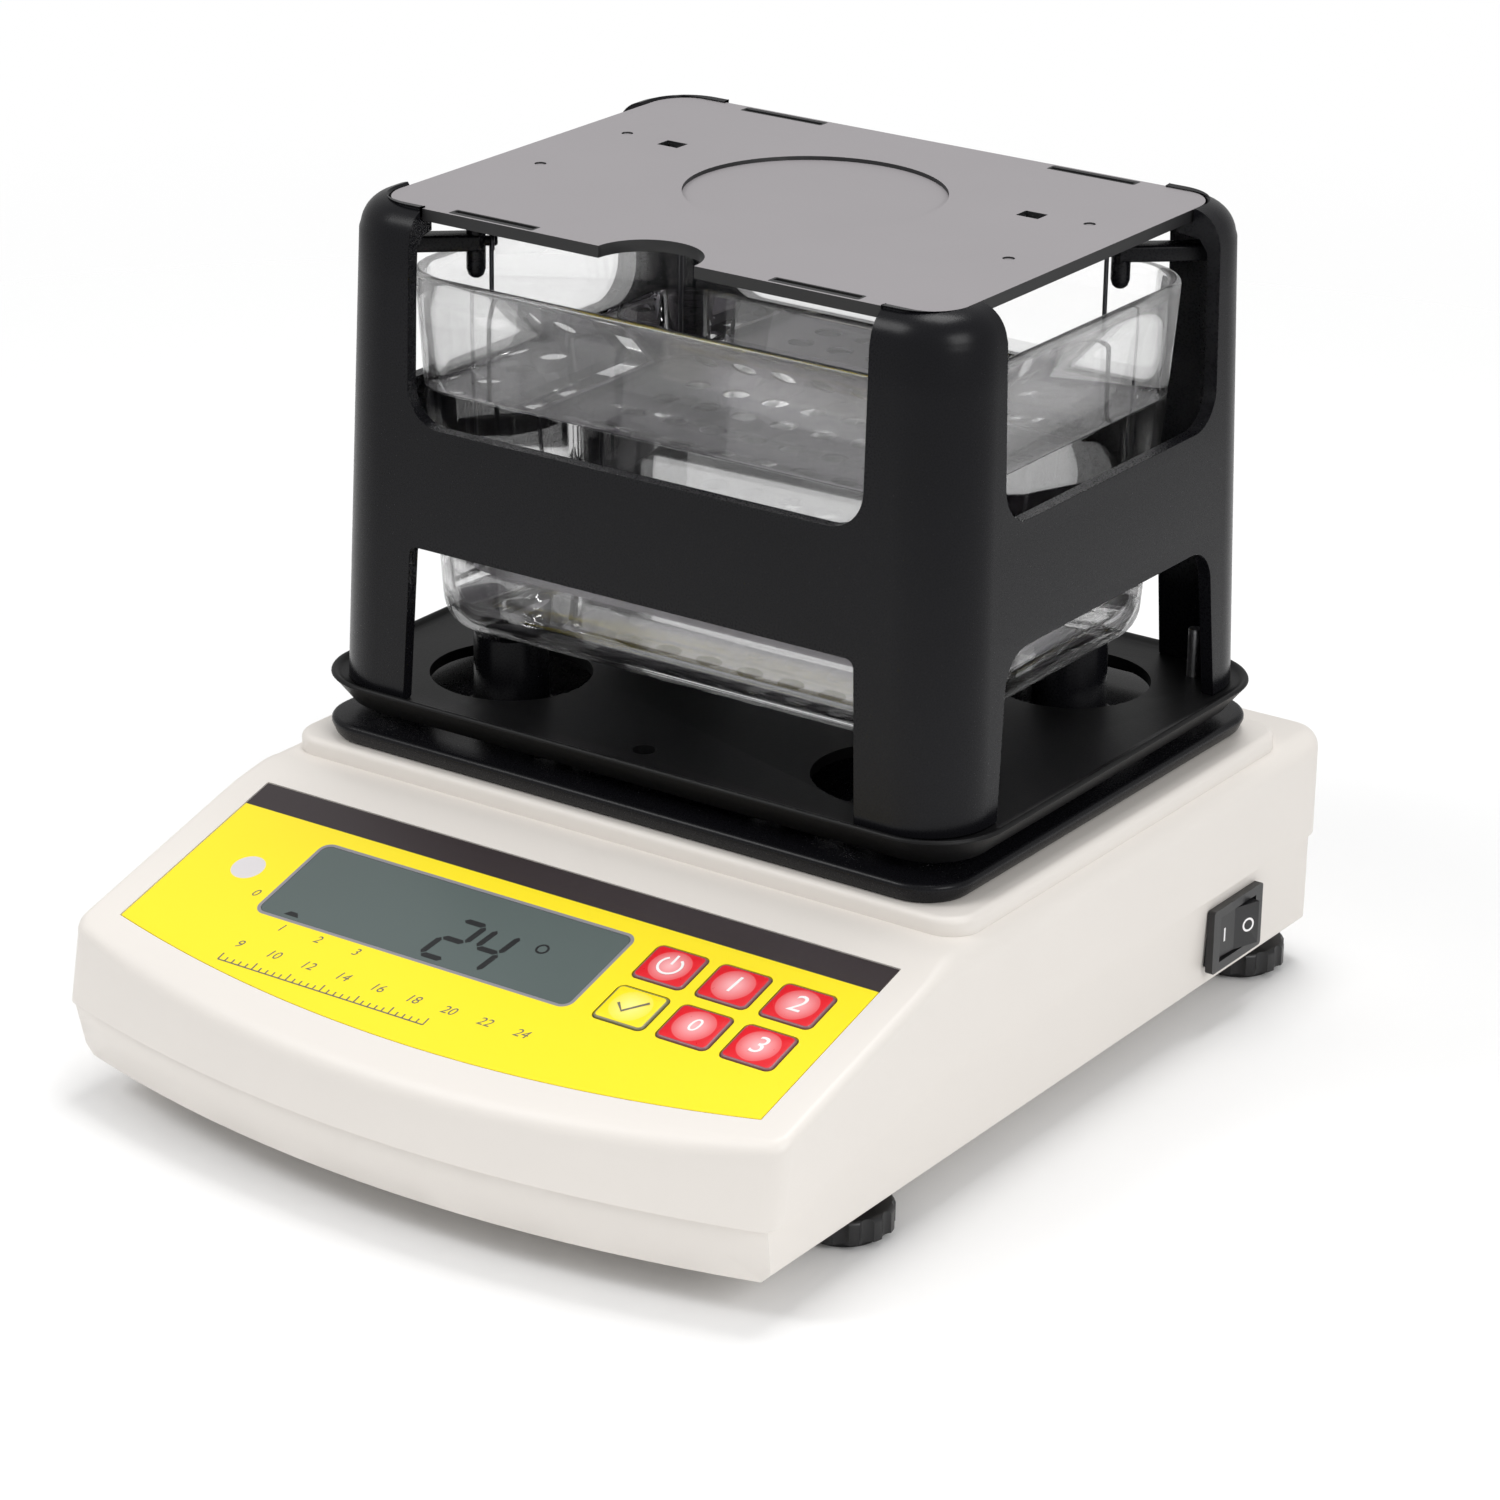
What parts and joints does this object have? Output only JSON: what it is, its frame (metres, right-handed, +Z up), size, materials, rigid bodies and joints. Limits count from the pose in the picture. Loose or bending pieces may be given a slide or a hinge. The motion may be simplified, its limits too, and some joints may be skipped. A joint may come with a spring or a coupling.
{
  "type": "electronic gold tester",
  "caption": "Counter-top density balance for gold: keypad housing, clear water tank, and a weighed black frame with a lift-off top plate and an immersed basket.",
  "frame": {"origin": "On the bench under the middle of the instrument, with the foot soles at z = 0.", "axes": "+Z up, -Y out of the front towards the user, +X to the user's right."},
  "size_m": [0.1846, 0.2348, 0.1833],
  "materials": {
    "case_plastic": "smooth moulded ABS, warm off-white",
    "black_plastic": "satin black moulded plastic",
    "base_plastic": "fine-grained dark grey plastic",
    "plate_grey": "matte grey paint on sheet steel",
    "tank_clear": "clear moulded tank",
    "overlay_yellow": "printed polyester overlay",
    "lens_clear": "clear acrylic window",
    "lcd_grey": "liquid crystal display",
    "board_green": "glass-fibre circuit board",
    "switch_black": "moulded switch bodies",
    "key_red": "red key pad",
    "key_yellow": "yellow key pad",
    "steel": "zinc-plated screws",
    "brass": "brass insert nuts",
    "cell_alu": "milled aluminium",
    "foot_rubber": "rubber sole",
    "foot_black": "moulded knob on a threaded stud",
    "wire_dark": "blackened steel wire",
    "basket_steel": "perforated stainless sheet"
  },
  "bodies": {
    "root": {"upper_housing": "case_plastic", "lower_housing": "case_plastic", "keypad_overlay": "overlay_yellow", "lcd_lens": "lens_clear", "lcd_module": "lcd_grey", "main_board": "board_green", "key_switches": "switch_black", "rocker_bezel": "switch_black", "dc_inlet": "switch_black", "foot_nuts": "brass", "case_screws": "steel", "board_screws": "steel", "load_cell": "cell_alu", "cell_spacer": "cell_alu", "cell_screws": "steel", "tray": "black_plastic", "tray_screws": "steel", "tank": "tank_clear"},
    "key_power": {"key_power": "key_red"},
    "key_one": {"key_one": "key_red"},
    "key_two": {"key_two": "key_red"},
    "key_enter": {"key_enter": "key_yellow"},
    "key_zero": {"key_zero": "key_red"},
    "key_three": {"key_three": "key_red"},
    "rocker": {"rocker": "switch_black"},
    "weighed": {"carrier_spacer": "cell_alu", "carrier_screws": "steel", "pan_carrier": "cell_alu", "support_posts": "steel", "base_plate": "base_plastic", "frame_shell": "black_plastic", "frame_screws": "steel", "hanger_wires": "wire_dark", "basket": "basket_steel"},
    "top_plate": {"top_plate": "plate_grey"},
    "sole_fl": {"foot_sole_fl": "foot_rubber"},
    "knob_fl": {"foot_knob_fl": "foot_black"},
    "sole_fr": {"foot_sole_fr": "foot_rubber"},
    "knob_fr": {"foot_knob_fr": "foot_black"},
    "sole_bl": {"foot_sole_bl": "foot_rubber"},
    "knob_bl": {"foot_knob_bl": "foot_black"},
    "sole_br": {"foot_sole_br": "foot_rubber"},
    "knob_br": {"foot_knob_br": "foot_black"}
  },
  "joints": [
    {"name": "press_power", "type": "slide", "parent": "root", "child": "key_power", "axis": [0, 0.2756, -0.9613], "range_m": [0, 0.0004], "stiffness_N_per_m": 2000, "springref_m": -0.0002},
    {"name": "press_one", "type": "slide", "parent": "root", "child": "key_one", "axis": [0, 0.2756, -0.9613], "range_m": [0, 0.0004], "stiffness_N_per_m": 2000, "springref_m": -0.0002},
    {"name": "press_two", "type": "slide", "parent": "root", "child": "key_two", "axis": [0, 0.2756, -0.9613], "range_m": [0, 0.0004], "stiffness_N_per_m": 2000, "springref_m": -0.0002},
    {"name": "press_enter", "type": "slide", "parent": "root", "child": "key_enter", "axis": [0, 0.2756, -0.9613], "range_m": [0, 0.0004], "stiffness_N_per_m": 2000, "springref_m": -0.0002},
    {"name": "press_zero", "type": "slide", "parent": "root", "child": "key_zero", "axis": [0, 0.2756, -0.9613], "range_m": [0, 0.0004], "stiffness_N_per_m": 2000, "springref_m": -0.0002},
    {"name": "press_three", "type": "slide", "parent": "root", "child": "key_three", "axis": [0, 0.2756, -0.9613], "range_m": [0, 0.0004], "stiffness_N_per_m": 2000, "springref_m": -0.0002},
    {"name": "rocker_tilt", "type": "hinge", "parent": "root", "child": "rocker", "pos_m": [0.0884, 0.0767, 0.0222], "axis": [0, 0, 1], "range_deg": [0, 22]},
    {"name": "weigh_sink", "type": "slide", "parent": "root", "child": "weighed", "axis": [0, 0, -1], "range_m": [0, 0.0004], "stiffness_N_per_m": 20000, "springref_m": -0.0005},
    {"name": "plate_lift", "type": "slide", "parent": "weighed", "child": "top_plate", "axis": [0, 0, 1], "range_m": [0, 0.06]},
    {"name": "foot_travel_fl", "type": "slide", "parent": "root", "child": "sole_fl", "axis": [0, 0, -1], "range_m": [-0.0015, 0.003]},
    {"name": "foot_turn_fl", "type": "hinge", "parent": "sole_fl", "child": "knob_fl", "pos_m": [-0.0775, -0.058, 0.0016], "axis": [0, 0, -1], "range_deg": [-560, 1100]},
    {"name": "foot_travel_fr", "type": "slide", "parent": "root", "child": "sole_fr", "axis": [0, 0, -1], "range_m": [-0.0015, 0.003]},
    {"name": "foot_turn_fr", "type": "hinge", "parent": "sole_fr", "child": "knob_fr", "pos_m": [0.0775, -0.058, 0.0016], "axis": [0, 0, -1], "range_deg": [-560, 1100]},
    {"name": "foot_travel_bl", "type": "slide", "parent": "root", "child": "sole_bl", "axis": [0, 0, -1], "range_m": [-0.0015, 0.003]},
    {"name": "foot_turn_bl", "type": "hinge", "parent": "sole_bl", "child": "knob_bl", "pos_m": [-0.0775, 0.104, 0.0016], "axis": [0, 0, -1], "range_deg": [-560, 1100]},
    {"name": "foot_travel_br", "type": "slide", "parent": "root", "child": "sole_br", "axis": [0, 0, -1], "range_m": [-0.0015, 0.003]},
    {"name": "foot_turn_br", "type": "hinge", "parent": "sole_br", "child": "knob_br", "pos_m": [0.0775, 0.104, 0.0016], "axis": [0, 0, -1], "range_deg": [-560, 1100]}
  ],
  "couplings": [
    {"joint": "foot_turn_fl", "follows": "foot_travel_fl", "rad_per_m": 6283.2},
    {"joint": "foot_turn_fr", "follows": "foot_travel_fr", "rad_per_m": 6283.2},
    {"joint": "foot_turn_bl", "follows": "foot_travel_bl", "rad_per_m": 6283.2},
    {"joint": "foot_turn_br", "follows": "foot_travel_br", "rad_per_m": 6283.2}
  ]
}
